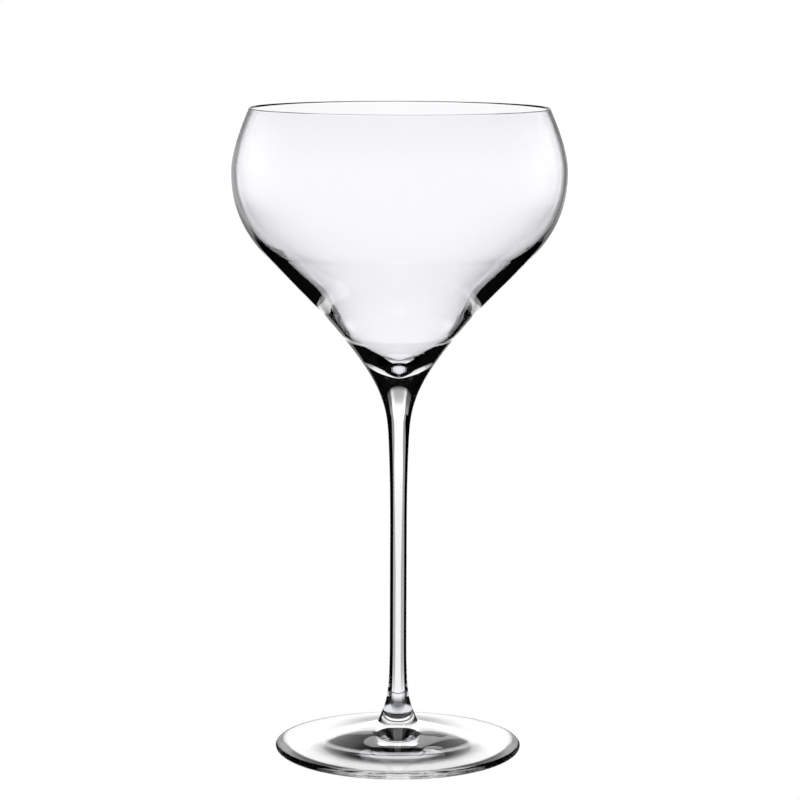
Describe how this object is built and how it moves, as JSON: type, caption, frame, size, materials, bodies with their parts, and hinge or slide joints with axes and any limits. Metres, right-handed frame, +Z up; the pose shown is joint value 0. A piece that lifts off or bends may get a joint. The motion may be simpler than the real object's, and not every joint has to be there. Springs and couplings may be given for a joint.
{
  "type": "nick and nora glass",
  "caption": "Clear stemmed cocktail glass: a thin heart-shaped bowl that narrows at the lip, on a long slender drawn stem and a round domed foot.",
  "frame": {"origin": "on the table, under the middle of the foot", "axes": "+Z up along the glass's axis of revolution, from the foot to the lip; X and Y are free, because the glass is round"},
  "size_m": [0.0874, 0.0874, 0.17],
  "materials": {
    "clear_glass": "polished, clear and colourless"
  },
  "bodies": {
    "root": {"bowl": "clear_glass", "stem": "clear_glass", "foot": "clear_glass"}
  },
  "joints": []
}
